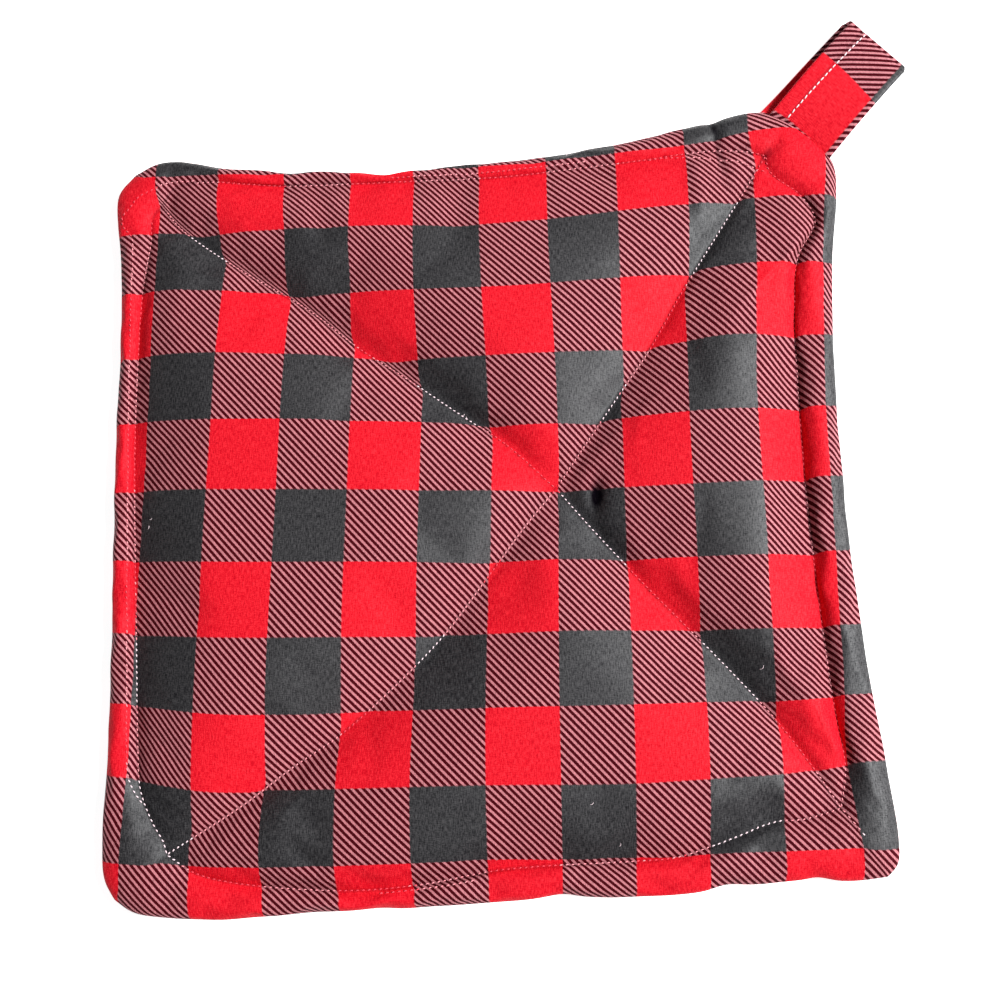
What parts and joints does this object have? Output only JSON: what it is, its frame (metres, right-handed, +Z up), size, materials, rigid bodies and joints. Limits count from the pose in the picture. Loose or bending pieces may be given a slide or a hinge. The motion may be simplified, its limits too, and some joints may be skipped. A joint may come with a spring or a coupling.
{
  "type": "pot holder",
  "caption": "Square quilted pot holder of buffalo-check cotton with X quilting, a topstitched border and a hanging loop at one corner.",
  "frame": {"origin": "middle of the pot holder's bounding box, at the level of the back panel it lies on", "axes": "+Z up out of the front panel, +X along the rows of the check, +Y up its columns, so the loop points to +X +Y"},
  "size_m": [0.265, 0.2866, 0.0133],
  "materials": {
    "check_cotton": "matt printed cotton: bright red and black checks with twill-line hatching between them, pinkish white topstitching",
    "loop_cotton": "matt printed cotton strip, folded in four and topstitched in pinkish white"
  },
  "bodies": {
    "root": {"pad": "check_cotton", "loop": "loop_cotton"}
  },
  "joints": []
}
